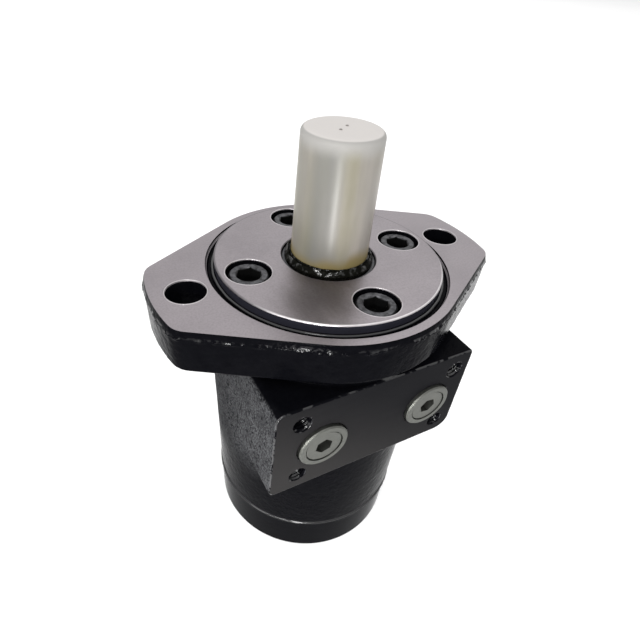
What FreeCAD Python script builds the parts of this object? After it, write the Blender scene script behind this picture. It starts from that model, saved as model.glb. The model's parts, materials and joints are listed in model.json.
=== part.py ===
"""Orbital hydraulic motor with a spool valve, two-hole mounting flange and face-mounted ports.

Units are millimetres. The origin is the centre of the mounting face: +Z runs along the shaft towards its
free end, +X runs through the two mounting holes and the ports face -Y.
"""
import FreeCAD, Part
import math
import os

V = FreeCAD.Vector
X, Y, Z = V(1, 0, 0), V(0, 1, 0), V(0, 0, 1)
ORIGIN = V(0, 0, 0)

# ---- driving dimensions -------------------------------------------------------------------------------
RUNNING = 0.05                 # radial clearance of the running fits
SEAL_GAP = 0.05                # between a sealing lip and the shaft, as the lip is drawn unstretched

# flange and pilot
PILOT_R, PILOT_TOP = 41.275, 2.5
GROOVE_R, GROOVE_DEPTH = 44.4, 1.8
FLANGE_BOTTOM = -16.0
FLANGE_HUB_R, FLANGE_END_R = 48.1, 65.5
FLANGE_RIM_INSET, FLANGE_RIM_DEPTH = 0.7, 2.6   # cast edge sloping up to the machined face
FLANGE_SIDE_ANGLE = 59.0       # direction of each straight side's normal, from X
FLANGE_CORNER_R = 8.0
MOUNT_HOLE_X, MOUNT_HOLE_R = 53.2, 6.75

# cover screws, 3/8 inch socket heads
COVER_SCREW_PCR, COVER_SCREW_ANGLES = 31.25, (0, 90, 180, 270)
CBORE_R, CBORE_FLOOR = 7.9, -8.0
SCREW_R, SCREW_HEAD_R, SCREW_HEAD_TOP = 4.76, 7.14, 1.5
SCREW_SOCKET_AF, SCREW_SOCKET_DEPTH = 7.94, 5.0
SCREW_TIP, SCREW_HOLE_END = -34.0, -36.5

# shaft and spool
SHAFT_R, SHAFT_TOP, SHOULDER_Z = 12.5, 42.5, 4.4
JOURNAL_R = 14.28
KEYWAY_W, KEYWAY_DEPTH, KEYWAY_LEN, KEYWAY_END_GAP = 8.0, 4.0, 32.0, 2.0
KEYWAY_ANGLE = 67.5                      # where the keyway points at rest
END_THREAD_R, END_THREAD_DEPTH = 3.4, 20.0
SPOOL_R, SPOOL_END = 17.5, -112.6
COLLAR_R, COLLAR_TOP, COLLAR_BOTTOM = 19.1, -11.02, -15.6
SPOOL_HOLLOW_R, SPLINE_FRONT, SPLINE_REAR, HOLLOW_TOP = 11.5, -55.0, -69.0, -51.5

# front cover's inside, from the pilot face inwards
DUST_SEAL_R, DUST_CASE_TOP, DUST_CASE_INNER_R, DUST_LIP_TOP = 17.2, 1.4, 15.8, 3.7
WEB_TOP, WEB_BOTTOM, WEB_R = -1.5, -3.0, 14.8
SEAL_R, SEAL_POCKET_TOP = 17.8, -8.0
BEARING_POCKET_R = 19.5
WASHER_T, ROLLER_R, ROLLER_LEN, ROLLER_COUNT, ROLLER_PCR = 1.0, 0.98, 3.0, 20, 17.0
CAGE_T, CAGE_INNER_R, CAGE_OUTER_R = 1.6, 14.7, 19.2

# housing
BODY_R, HOUSING_BOTTOM = 44.45, -113.0
BLOCK_FACE_Y, BLOCK_TOP, BLOCK_BOTTOM = -45.6, -19.8, -64.2
BLOCK_LEFT, BLOCK_RIGHT = (-41.6, -43.4), (38.3, 40.7)   # the cast sides' x at the top and at the bottom
BLOCK_CORNER_R = {(-1, 1): 3.5, (1, 1): 1.5, (-1, -1): 3.0, (1, -1): 6.0}   # by side, top or bottom
BLOCK_EDGE_R = 0.7
PORT_X, PORT_Z = 23.0, -42.5
PORT_BOLT_X, PORT_BOLT_Z, PORT_BOLT_MID_Z = 32.0, 14.3, -42.0
PORT_BOLT_R, PORT_BOLT_DEPTH = 3.45, 16.0
PORT_THREAD_R, PORT_THREAD_DEPTH, PORT_DRILL_R, PORT_DRILL_END = 7.0, 13.0, 5.5, -30.0
SPOTFACE_R, SPOTFACE_DEPTH = 9.95, 1.8
GALLERY_R, GALLERY_W = 20.5, 6.0
GALLERY_A_Z, GALLERY_B_Z, WINDOW_Z = -33.5, -53.5, -43.5
WINDOW_R, FEED_TOP = 1.9, -40.9

# gerotor set: seven fixed lobes round a six tooth star
LOBES, TEETH = 7, 6
LOBE_PCR, LOBE_R, ECCENTRICITY, STAR_GAP = 31.0, 8.0, 2.6, 0.06
RING_CAVITY_R = 28.9
FEED_PCR, FEED_R = 25.5, 2.2
PLATE_BOTTOM, RING_BOTTOM, MOTOR_BOTTOM = -117.5, -124.0, -136.0
PLATE_HOLE_R = 13.5
STAR_FACE_GAP = 0.03

# drive link
SPLINE_TEETH = 10
SPLINE_MINOR_R, SPLINE_MAJOR_R, SPLINE_SLOT_W = 8.4, 10.4, 2.9
LINK_ROOT_R, LINK_TIP_R, LINK_TOOTH_W, LINK_BODY_R = 7.7, 9.8, 2.1, 6.8
LINK_REAR_Z = 0.5 * (PLATE_BOTTOM + RING_BOTTOM)
LINK_FRONT_Z = 0.5 * (SPLINE_FRONT + SPLINE_REAR)
LINK_REAR_HALF, LINK_FRONT_HALF = 3.5, 6.5
SPACER_R, SPACER_T, SPACER_POCKET_R, SPACER_POCKET_BOTTOM = 8.0, 2.2, 13.0, -127.2

# end screws, 5/16 inch low heads, in counterbores
END_SCREW_PCR, END_SCREW_R, END_HOLE_R = 37.0, 3.97, 4.1
END_HEAD_R, END_HEAD_H, END_CBORE_R, END_CBORE_DEPTH = 5.95, 5.0, 6.4, 6.6
END_WASHER_T, END_SOCKET_AF, END_SCREW_TIP = 1.0, 5.0, -97.0

# plastic thread and shaft protector
CAP_OUTER_R0, CAP_OUTER_R1, CAP_INNER_R0, CAP_INNER_R1 = 13.95, 13.45, 13.2, 13.06
CAP_TOP, CAP_ROOF, CAP_EDGE_R = 45.0, 43.0, 1.2

# drain plug, M10 with a 5 mm socket, on the side away from the ports
DRAIN_ANGLE, DRAIN_Z = 2 * 360.0 / 7, -75.0
DRAIN_R, DRAIN_COLLAR_R, DRAIN_FACE, DRAIN_SPOT_R = 5.0, 7.0, 43.3, 7.6


# ---- helpers ------------------------------------------------------------------------------------------
def polar(radius, degrees, z=0.0):
    a = math.radians(degrees)
    return V(radius * math.cos(a), radius * math.sin(a), z)


def rod(radius, z0, z1, x=0.0, y=0.0):
    """Upright cylinder between two heights."""
    low, high = min(z0, z1), max(z0, z1)
    return Part.makeCylinder(radius, high - low, V(x, y, low))


def tube(outer, inner, z0, z1):
    return rod(outer, z0, z1).cut(rod(inner, z0, z1))


def drill(radius, start, end):
    """Cylinder from one point to another."""
    path = end - start
    return Part.makeCylinder(radius, path.Length, start, path)


def lathe(points):
    """Solid of revolution about Z from (radius, z) points."""
    wire = Part.makePolygon([V(r, 0, z) for r, z in points + points[:1]])
    return Part.Face(wire).revolve(ORIGIN, Z, 360)


def box(x0, x1, y0, y1, z0, z1):
    return Part.makeBox(x1 - x0, y1 - y0, z1 - z0, V(x0, y0, z0))


def fuse(shapes):
    shapes = list(shapes)
    return shapes[0].multiFuse(shapes[1:]) if len(shapes) > 1 else shapes[0]


def cut(shape, *tools):
    return shape.cut(fuse(tools))


def hexagon(across_flats, z0, z1):
    """Upright hexagonal prism between two heights."""
    low, high = min(z0, z1), max(z0, z1)
    corners = [polar(across_flats / math.sqrt(3), 60 * k, low) for k in range(7)]
    return Part.Face(Part.makePolygon(corners)).extrude(V(0, 0, high - low))


def placed(shape, where, z_axis, turn=0.0):
    """Copy of a shape drawn at the origin, with its Z laid along an axis and moved to a point."""
    out = shape.copy()
    spin = FreeCAD.Rotation(Z, turn)
    out.Placement = FreeCAD.Placement(where, FreeCAD.Rotation(Z, z_axis).multiply(spin))
    return out


def ring_of(shape, radius, angles):
    """Copies of a shape drawn on the Z axis, spread on a circle."""
    out = []
    for angle in angles:
        one = shape.copy()
        one.translate(polar(radius, angle))
        out.append(one)
    return out


def o_ring(pitch_r, section_r, z, half_height):
    """O-ring squeezed between two faces, so that it has a flat on each."""
    torus = Part.makeTorus(pitch_r, section_r, V(0, 0, z))
    return torus.common(rod(pitch_r + 2 * section_r, z - half_height, z + half_height))


def one_solid(shape):
    shape = shape.removeSplitter()
    if len(shape.Solids) != 1:
        raise ValueError("expected one solid, found %d" % len(shape.Solids))
    return shape.Solids[0]


LOBE_ANGLES = [360.0 * k / LOBES for k in range(LOBES)]
POCKET_ANGLES = [360.0 * (k + 0.5) / LOBES for k in range(LOBES)]
STAR_CENTRE = V(ECCENTRICITY, 0, 0)

# O-ring seats: pitch radius, section radius, half height once squeezed, half width of the groove
COVER_O_RING = (22.8, 1.1, 1.0, 1.2)
REAR_O_RING = (31.1, 0.9, 0.8, 1.0)


def o_ring_groove(seat, face_z, into):
    pitch, _, half_height, half_width = seat
    return tube(pitch + half_width, pitch - half_width, face_z, face_z + into * 2 * half_height)


# ---- front cover --------------------------------------------------------------------------------------
def flange_outline(inset, z):
    """Hub arc, straight sides and end arcs, with rounded corners, as one closed wire."""
    hub_r, end_r, corner_r = FLANGE_HUB_R - inset, FLANGE_END_R - inset, FLANGE_CORNER_R - inset
    a = math.radians(FLANGE_SIDE_ANGLE)
    normal, along = V(math.cos(a), math.sin(a), 0), V(math.sin(a), -math.cos(a), 0)
    aside = hub_r - corner_r
    reach = end_r - corner_r
    corner = normal * aside + along * math.sqrt(reach ** 2 - aside ** 2)
    hub_point = normal * hub_r
    side_end = corner + normal * corner_r
    outward = corner * (1 / corner.Length)
    arc_start = outward * end_r
    mid_direction = normal + outward
    corner_mid = corner + mid_direction * (corner_r / mid_direction.Length)

    def mirror(p, sx, sy):
        return V(p.x * sx, p.y * sy, z)

    edges = []
    for sx, sy in ((1, 1), (1, -1), (-1, -1), (-1, 1)):
        hub, end, mid, arc = [mirror(p, sx, sy) for p in (hub_point, side_end, corner_mid, arc_start)]
        edges.append(Part.makeLine(hub, end))
        edges.append(Part.Arc(end, mid, arc).toShape())
    for side in (1, -1):
        top, low = mirror(arc_start, side, 1), mirror(arc_start, side, -1)
        edges.append(Part.Arc(top, V(side * end_r, 0, z), low).toShape())
        left, right = mirror(hub_point, -1, side), mirror(hub_point, 1, side)
        edges.append(Part.Arc(left, V(0, side * hub_r, z), right).toShape())
    return Part.Wire(Part.__sortEdges__(edges))


def make_front_cover():
    wide = flange_outline(0, -FLANGE_RIM_DEPTH)
    plate = Part.Face(wide).extrude(V(0, 0, FLANGE_BOTTOM + FLANGE_RIM_DEPTH))
    rims = [e for e in plate.Edges if max(v.Z for v in e.Vertexes) < FLANGE_BOTTOM + 0.01]
    plate = plate.makeFillet(1.2, rims)
    plate = plate.fuse(Part.makeLoft([wide, flange_outline(FLANGE_RIM_INSET, 0)], True, True))
    groove_floor = -GROOVE_DEPTH
    groove = lathe([(GROOVE_R, 1), (GROOVE_R, groove_floor + 1.0), (GROOVE_R - 1.0, groove_floor),
                    (PILOT_R, groove_floor), (PILOT_R, 1)])
    pilot = lathe([(0, FLANGE_BOTTOM + 8), (PILOT_R, FLANGE_BOTTOM + 8), (PILOT_R, PILOT_TOP - 0.5),
                   (PILOT_R - 0.5, PILOT_TOP), (0, PILOT_TOP)])
    body = plate.cut(groove).fuse(pilot)
    bores = [
        lathe([(0, WEB_TOP), (DUST_SEAL_R, WEB_TOP), (DUST_SEAL_R, PILOT_TOP - 0.3),
               (DUST_SEAL_R + 0.3, PILOT_TOP), (DUST_SEAL_R + 0.3, PILOT_TOP + 1), (0, PILOT_TOP + 1)]),
        rod(WEB_R, WEB_TOP + 1, WEB_BOTTOM - 1),
        rod(SEAL_R, WEB_BOTTOM, SEAL_POCKET_TOP - 1),
        rod(BEARING_POCKET_R, SEAL_POCKET_TOP, FLANGE_BOTTOM - 1),
        o_ring_groove(COVER_O_RING, FLANGE_BOTTOM, 1),
    ]
    counterbore = lathe([(0, CBORE_FLOOR), (CBORE_R, CBORE_FLOOR), (CBORE_R, PILOT_TOP - 0.4),
                         (CBORE_R + 0.4, PILOT_TOP), (CBORE_R + 0.4, PILOT_TOP + 1), (0, PILOT_TOP + 1)])
    clearance_hole = rod(SCREW_R + 0.3, CBORE_FLOOR + 1, FLANGE_BOTTOM - 1)
    for tool in (counterbore, clearance_hole):
        bores += ring_of(tool, COVER_SCREW_PCR, COVER_SCREW_ANGLES)
    mount_hole = lathe([(0, FLANGE_BOTTOM - 1), (MOUNT_HOLE_R, FLANGE_BOTTOM - 1), (MOUNT_HOLE_R, -0.5),
                        (MOUNT_HOLE_R + 0.5, 0), (MOUNT_HOLE_R + 0.5, 1), (0, 1)])
    bores += ring_of(mount_hole, MOUNT_HOLE_X, (0, 180))
    return one_solid(cut(body, *bores))


def make_cover_screw():
    """One socket head screw on the Z axis."""
    head_bottom, top = CBORE_FLOOR, SCREW_HEAD_TOP
    body = lathe([(0, SCREW_TIP), (SCREW_R - 0.8, SCREW_TIP), (SCREW_R, SCREW_TIP + 0.8),
                  (SCREW_R, head_bottom), (SCREW_HEAD_R, head_bottom), (SCREW_HEAD_R, top - 0.8),
                  (SCREW_HEAD_R - 0.8, top), (0, top)])
    socket_floor = top - SCREW_SOCKET_DEPTH
    countersink = lathe([(0, top - 0.6), (SCREW_SOCKET_AF / 2, top - 0.6),
                         (SCREW_SOCKET_AF / 2 + 0.8, top + 0.2), (0, top + 0.2)])
    return body.cut(hexagon(SCREW_SOCKET_AF, socket_floor, top + 1)).cut(countersink)


def make_dust_seal():
    """Rim pressed into the cover, a dip, and a lip that stands up along the journal."""
    lip, dip = JOURNAL_R + SEAL_GAP, 0.2
    return lathe([(DUST_SEAL_R, WEB_TOP), (DUST_SEAL_R, DUST_CASE_TOP - 0.4), (DUST_SEAL_R - 0.4, DUST_CASE_TOP),
                  (DUST_CASE_INNER_R + 0.3, DUST_CASE_TOP), (DUST_CASE_INNER_R, DUST_CASE_TOP - 0.3),
                  (DUST_CASE_INNER_R, dip), (lip + 1.0, dip), (lip + 0.7, DUST_LIP_TOP - 0.4),
                  (lip + 0.3, DUST_LIP_TOP), (lip, DUST_LIP_TOP - 0.2), (lip, 0.0), (lip + 0.4, WEB_TOP)])


def make_shaft_seal():
    lip, low, high = JOURNAL_R + SEAL_GAP, SEAL_POCKET_TOP + 0.4, WEB_BOTTOM - 1.0
    return lathe([(SEAL_R, low), (SEAL_R, high), (lip + 0.4, high), (lip, high - 0.8), (lip, high - 1.4),
                  (lip + 1.0, low + 0.8), (lip + 1.2, low + 0.8), (lip + 1.4, low)])


# ---- thrust bearing -----------------------------------------------------------------------------------
ROLLER_Z = SEAL_POCKET_TOP - WASHER_T - 1.0


def make_bearing():
    """Cage and rollers of the needle thrust bearing."""
    cage = tube(CAGE_OUTER_R, CAGE_INNER_R, ROLLER_Z - CAGE_T / 2, ROLLER_Z + CAGE_T / 2)
    window = box(ROLLER_PCR - ROLLER_LEN / 2 - 0.05, ROLLER_PCR + ROLLER_LEN / 2 + 0.05,
                 -ROLLER_R - 0.04, ROLLER_R + 0.04, ROLLER_Z - 2, ROLLER_Z + 2)
    needle = Part.makeCylinder(ROLLER_R, ROLLER_LEN, V(ROLLER_PCR - ROLLER_LEN / 2, 0, ROLLER_Z), X)
    windows, needles = [], []
    for k in range(ROLLER_COUNT):
        for source, out in ((window, windows), (needle, needles)):
            one = source.copy()
            one.rotate(ORIGIN, Z, 360.0 * k / ROLLER_COUNT)
            out.append(one)
    return one_solid(cut(cage, *windows)), Part.makeCompound(needles)


# ---- shaft --------------------------------------------------------------------------------------------
def spline_slots(width, minor_r, major_r, z0, z1):
    """Bore with straight-sided slots, the inside of a female spline."""
    slots = [rod(minor_r, z0, z1)]
    for k in range(SPLINE_TEETH):
        slot = box(0, major_r, -width / 2, width / 2, min(z0, z1), max(z0, z1))
        slot.rotate(ORIGIN, Z, 360.0 * k / SPLINE_TEETH)
        slots.append(slot)
    return fuse(slots).common(rod(major_r, z0, z1))


def make_output_shaft():
    blank = lathe([(0, SPOOL_END), (SPOOL_R - 0.5, SPOOL_END), (SPOOL_R, SPOOL_END + 0.5),
                   (SPOOL_R, COLLAR_BOTTOM), (COLLAR_R, COLLAR_BOTTOM), (COLLAR_R, COLLAR_TOP),
                   (JOURNAL_R, COLLAR_TOP), (JOURNAL_R, SHOULDER_Z - 0.4), (JOURNAL_R - 0.4, SHOULDER_Z),
                   (SHAFT_R, SHOULDER_Z), (SHAFT_R, SHAFT_TOP - 1.0), (SHAFT_R - 1.0, SHAFT_TOP),
                   (0, SHAFT_TOP)])
    key_top = SHAFT_TOP - KEYWAY_END_GAP
    half = KEYWAY_W / 2
    floor_x = SHAFT_R - KEYWAY_DEPTH
    keyway = [box(floor_x, 2 * SHAFT_R, -half, half, key_top - KEYWAY_LEN + half, key_top - half)]
    for z in (key_top - half, key_top - KEYWAY_LEN + half):
        keyway.append(Part.makeCylinder(half, SHAFT_R, V(floor_x, 0, z), V(1, 0, 0)))
    for tool in keyway:
        tool.rotate(ORIGIN, Z, KEYWAY_ANGLE)
    inside = [
        rod(END_THREAD_R, SHAFT_TOP + 1, SHAFT_TOP - END_THREAD_DEPTH),
        Part.makeCone(END_THREAD_R + 1.2, END_THREAD_R, 1.2, V(0, 0, SHAFT_TOP), V(0, 0, -1)),
        rod(SPOOL_HOLLOW_R, SPOOL_END - 1, SPLINE_REAR),
        spline_slots(SPLINE_SLOT_W, SPLINE_MINOR_R, SPLINE_MAJOR_R, SPLINE_REAR - 1, SPLINE_FRONT),
        rod(SPLINE_MAJOR_R + 0.4, SPLINE_FRONT, HOLLOW_TOP),
    ]
    # one ring groove faces each gallery, and each feeds every other axial slot past the windows
    grooves = [tube(SPOOL_R + 1, SPOOL_R - 2.0, z - GALLERY_W / 2, z + GALLERY_W / 2)
               for z in (GALLERY_A_Z, GALLERY_B_Z)]
    slot_half, slot_depth, overlap = 1.5, 1.6, WINDOW_R + 1.0
    for k in range(2 * TEETH):
        gallery = GALLERY_A_Z if k % 2 == 0 else GALLERY_B_Z
        ends = (gallery, WINDOW_Z - overlap) if k % 2 == 0 else (gallery, WINDOW_Z + overlap)
        slot = box(SPOOL_R - slot_depth, SPOOL_R + 1, -slot_half, slot_half, min(ends), max(ends))
        slot.rotate(ORIGIN, Z, 180.0 * k / TEETH)
        grooves.append(slot)
    # leakage groove and its radial holes into the hollow, level with the drain
    grooves.append(tube(SPOOL_R + 1, SPOOL_R - 1.0, DRAIN_Z - 2, DRAIN_Z + 2))
    leak_holes = [drill(1.5, polar(SPOOL_HOLLOW_R - 2, a, DRAIN_Z), polar(SPOOL_R + 1, a, DRAIN_Z))
                  for a in (45, 225)]
    return one_solid(cut(blank, *keyway, *inside, *grooves, *leak_holes))


def make_shaft_cap():
    outer = Part.makeCone(CAP_OUTER_R0, CAP_OUTER_R1, CAP_TOP - SHOULDER_Z, V(0, 0, SHOULDER_Z))
    rim = [e for e in outer.Edges if len(e.Vertexes) == 1 and abs(e.Vertexes[0].Z - CAP_TOP) < 0.01]
    outer = outer.makeFillet(CAP_EDGE_R, rim)
    inner = Part.makeCone(CAP_INNER_R0, CAP_INNER_R1, CAP_ROOF - SHOULDER_Z, V(0, 0, SHOULDER_Z))
    gates = ring_of(rod(0.7, CAP_TOP - 0.2, CAP_TOP + 0.15), 2.2, (20, 200))
    return one_solid(outer.cut(inner).fuse(fuse(gates)))


# ---- housing ------------------------------------------------------------------------------------------
def port_axis(x, z=PORT_Z):
    return V(x, BLOCK_FACE_Y, z)


def make_housing():
    body = lathe([(0, HOUSING_BOTTOM), (BODY_R - 0.8, HOUSING_BOTTOM), (BODY_R, HOUSING_BOTTOM + 0.8),
                  (BODY_R, FLANGE_BOTTOM), (0, FLANGE_BOTTOM)])
    outline = [(BLOCK_LEFT[0], BLOCK_TOP), (BLOCK_RIGHT[0], BLOCK_TOP), (BLOCK_RIGHT[1], BLOCK_BOTTOM),
               (BLOCK_LEFT[1], BLOCK_BOTTOM)]
    wire = Part.makePolygon([V(x, BLOCK_FACE_Y, z) for x, z in outline + outline[:1]])
    block = Part.Face(wire).extrude(Y * -BLOCK_FACE_Y)

    def runs_back(edge, side, level):
        p, q = edge.Vertexes[0].Point, edge.Vertexes[-1].Point
        middle = 0.5 * (BLOCK_TOP + BLOCK_BOTTOM)
        return abs(p.y - q.y) > 1 and p.x * side > 0 and (p.z - middle) * level > 0

    for (side, level), radius in BLOCK_CORNER_R.items():
        block = block.makeFillet(radius, [e for e in block.Edges if runs_back(e, side, level)])
    front = [e for e in block.Edges if all(abs(v.Y - BLOCK_FACE_Y) < 0.01 for v in e.Vertexes)]
    block = block.makeFillet(BLOCK_EDGE_R, front)
    casting = body.fuse(block)

    tools = [rod(SPOOL_R + RUNNING, FLANGE_BOTTOM + 1, HOUSING_BOTTOM - 1)]
    tools += [rod(GALLERY_R, z - GALLERY_W / 2, z + GALLERY_W / 2) for z in (GALLERY_A_Z, GALLERY_B_Z)]
    tools += ring_of(rod(SCREW_R, FLANGE_BOTTOM + 1, SCREW_HOLE_END), COVER_SCREW_PCR, COVER_SCREW_ANGLES)
    tools += ring_of(rod(END_SCREW_R, HOUSING_BOTTOM - 1, END_SCREW_TIP + 2), END_SCREW_PCR, LOBE_ANGLES)
    tools += ring_of(rod(FEED_R, HOUSING_BOTTOM - 1, FEED_TOP), FEED_PCR, POCKET_ANGLES)
    tools += [drill(WINDOW_R, polar(SPOOL_R - 2, a, WINDOW_Z), polar(FEED_PCR, a, WINDOW_Z))
              for a in POCKET_ANGLES]
    tools.append(o_ring_groove(REAR_O_RING, HOUSING_BOTTOM, 1))
    for side, gallery in ((-1, GALLERY_A_Z), (1, GALLERY_B_Z)):
        mouth = port_axis(side * PORT_X)
        tools.append(Part.makeCylinder(SPOTFACE_R, SPOTFACE_DEPTH + 1, mouth - Y, Y))
        tools.append(Part.makeCylinder(PORT_THREAD_R, SPOTFACE_DEPTH + PORT_THREAD_DEPTH, mouth, Y))
        elbow = V(side * PORT_X, PORT_DRILL_END, PORT_Z)
        tools.append(drill(PORT_DRILL_R, mouth, elbow))
        tools.append(drill(3.0, elbow - Y, V(side * 11.0, -15.0, gallery)))
    for sx in (-1, 1):
        for sz in (-1, 1):
            mouth = port_axis(sx * PORT_BOLT_X, PORT_BOLT_MID_Z + sz * PORT_BOLT_Z)
            tools.append(Part.makeCylinder(PORT_BOLT_R, PORT_BOLT_DEPTH + 1, mouth - Y, Y))
    out = polar(1, DRAIN_ANGLE)
    level = V(0, 0, DRAIN_Z)
    tools.append(drill(DRAIN_SPOT_R, out * DRAIN_FACE + level, out * (BODY_R + 2) + level))
    tools.append(drill(DRAIN_R, out * (DRAIN_FACE - 10) + level, out * BODY_R + level))
    tools.append(drill(2.5, out * (SPOOL_R - 2) + level, out * BODY_R + level))
    return one_solid(cut(casting, *tools))


def socket_plug(thread_r, thread_len, collar_r, collar_t, socket_af, disc_r=None):
    """Collared socket plug: collar's outer face at z = collar_t, thread below z = 0."""
    body = lathe([(0, -thread_len), (thread_r - 0.8, -thread_len), (thread_r, -thread_len + 0.8),
                  (thread_r, 0), (collar_r, 0), (collar_r, collar_t - 0.5), (collar_r - 0.5, collar_t),
                  (0, collar_t)])
    if disc_r:
        body = cut(body, rod(disc_r, collar_t - 0.3, collar_t + 1),
                   tube(disc_r, disc_r - 0.5, collar_t - 0.9, collar_t + 1))
    return body.cut(hexagon(socket_af, collar_t - 5.5, collar_t + 1))


def flat_ring(outer, inner, thickness):
    """Sealing washer lying below z = 0."""
    return tube(outer, inner, -thickness, 0)


# ---- gerotor set --------------------------------------------------------------------------------------
def make_spacer_plate():
    plate = lathe([(PLATE_HOLE_R, PLATE_BOTTOM), (BODY_R, PLATE_BOTTOM), (BODY_R, HOUSING_BOTTOM - 0.6),
                   (BODY_R - 0.6, HOUSING_BOTTOM), (PLATE_HOLE_R, HOUSING_BOTTOM)])
    tools = ring_of(rod(END_HOLE_R, PLATE_BOTTOM - 1, HOUSING_BOTTOM + 1), END_SCREW_PCR, LOBE_ANGLES)
    tools += ring_of(rod(FEED_R, PLATE_BOTTOM - 1, HOUSING_BOTTOM + 1), FEED_PCR, POCKET_ANGLES)
    tools.append(o_ring_groove(REAR_O_RING, PLATE_BOTTOM, 1))
    return one_solid(cut(plate, *tools))


def make_gerotor_ring():
    ring = rod(BODY_R, RING_BOTTOM, PLATE_BOTTOM)
    lobes = ring_of(rod(LOBE_R, RING_BOTTOM - 1, PLATE_BOTTOM + 1), LOBE_PCR, LOBE_ANGLES)
    cavity = rod(RING_CAVITY_R, RING_BOTTOM, PLATE_BOTTOM).cut(fuse(lobes))
    holes = ring_of(rod(END_HOLE_R, RING_BOTTOM - 1, PLATE_BOTTOM + 1), END_SCREW_PCR, LOBE_ANGLES)
    return one_solid(cut(ring, cavity, *holes))


def star_outline(steps_per_tooth=16):
    """Closed curve that keeps touching all seven lobes as the star rolls inside them."""
    points = []
    steps = steps_per_tooth * TEETH
    radius = LOBE_R + STAR_GAP
    for i in range(steps):
        t = 2 * math.pi * i / steps
        centre = V(LOBE_PCR * math.cos(t) - ECCENTRICITY * math.cos(LOBES * t),
                   LOBE_PCR * math.sin(t) - ECCENTRICITY * math.sin(LOBES * t), 0)
        tangent = V(-LOBE_PCR * math.sin(t) + ECCENTRICITY * LOBES * math.sin(LOBES * t),
                    LOBE_PCR * math.cos(t) - ECCENTRICITY * LOBES * math.cos(LOBES * t), 0)
        outward = V(tangent.y, -tangent.x, 0) * (1 / tangent.Length)
        points.append(centre - outward * radius)
    curve = Part.BSplineCurve()
    curve.interpolate(points, PeriodicFlag=True)
    return Part.Wire(curve.toShape())


def make_gerotor_star():
    low, high = RING_BOTTOM + STAR_FACE_GAP, PLATE_BOTTOM - STAR_FACE_GAP
    star = Part.Face(star_outline()).extrude(V(0, 0, high - low))
    star.translate(V(0, 0, low))
    star = star.cut(spline_slots(SPLINE_SLOT_W, SPLINE_MINOR_R, SPLINE_MAJOR_R, low - 1, high + 1))
    star.translate(STAR_CENTRE)
    return one_solid(star)


def link_axis():
    rear, front = V(ECCENTRICITY, 0, LINK_REAR_Z), V(0, 0, LINK_FRONT_Z)
    return rear, front - rear


def make_drive_link():
    """Link with a crowned spline head at each end, tilted from the star's centre to the shaft's."""
    rear, path = link_axis()
    length = path.Length
    top, bottom = length + LINK_FRONT_HALF, -LINK_REAR_HALF
    core = lathe([(0, bottom), (LINK_ROOT_R - 0.8, bottom), (LINK_ROOT_R, bottom + 0.8),
                  (LINK_ROOT_R, LINK_REAR_HALF), (LINK_BODY_R, LINK_REAR_HALF + 3),
                  (LINK_BODY_R, length - LINK_FRONT_HALF - 3), (LINK_ROOT_R, length - LINK_FRONT_HALF),
                  (LINK_ROOT_R, top - 1.0), (LINK_ROOT_R - 1.0, top), (0, top)])
    parts = [core]
    for centre, half in ((0.0, LINK_REAR_HALF), (length, LINK_FRONT_HALF)):
        crown = lathe([(0, centre - half), (LINK_TIP_R - 0.5, centre - half), (LINK_TIP_R, centre - half / 2),
                       (LINK_TIP_R, centre + half / 2), (LINK_TIP_R - 0.5, centre + half),
                       (0, centre + half)])
        teeth = []
        for k in range(SPLINE_TEETH):
            tooth = box(0, LINK_TIP_R + 1, -LINK_TOOTH_W / 2, LINK_TOOTH_W / 2, centre - half, centre + half)
            tooth.rotate(ORIGIN, Z, 360.0 * k / SPLINE_TEETH)
            teeth.append(tooth)
        parts.append(fuse(teeth).common(crown))
    link = fuse(parts)
    link.rotate(ORIGIN, Y, -math.degrees(math.asin(ECCENTRICITY / length)))
    link.translate(rear)
    return one_solid(link)


def make_end_cover():
    cover = lathe([(0, MOTOR_BOTTOM), (BODY_R - 1.2, MOTOR_BOTTOM), (BODY_R, MOTOR_BOTTOM + 1.2),
                   (BODY_R, RING_BOTTOM), (0, RING_BOTTOM)])
    tools = ring_of(rod(END_HOLE_R, MOTOR_BOTTOM - 1, RING_BOTTOM + 1), END_SCREW_PCR, LOBE_ANGLES)
    tools += ring_of(rod(END_CBORE_R, MOTOR_BOTTOM - 1, MOTOR_BOTTOM + END_CBORE_DEPTH), END_SCREW_PCR,
                     LOBE_ANGLES)
    tools.append(rod(SPACER_POCKET_R, RING_BOTTOM + 1, SPACER_POCKET_BOTTOM))
    tools.append(o_ring_groove(REAR_O_RING, RING_BOTTOM, -1))
    return one_solid(cut(cover, *tools))


def make_end_screw():
    """One low head screw on the Z axis, its head downwards."""
    seat = MOTOR_BOTTOM + END_CBORE_DEPTH - END_WASHER_T
    head_end = seat - END_HEAD_H
    body = lathe([(0, head_end), (END_HEAD_R - 0.6, head_end), (END_HEAD_R, head_end + 0.6), (END_HEAD_R, seat),
                  (END_SCREW_R, seat), (END_SCREW_R, END_SCREW_TIP - 0.8), (END_SCREW_R - 0.8, END_SCREW_TIP),
                  (0, END_SCREW_TIP)])
    return body.cut(hexagon(END_SOCKET_AF, head_end - 1, head_end + 3.0))


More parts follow.
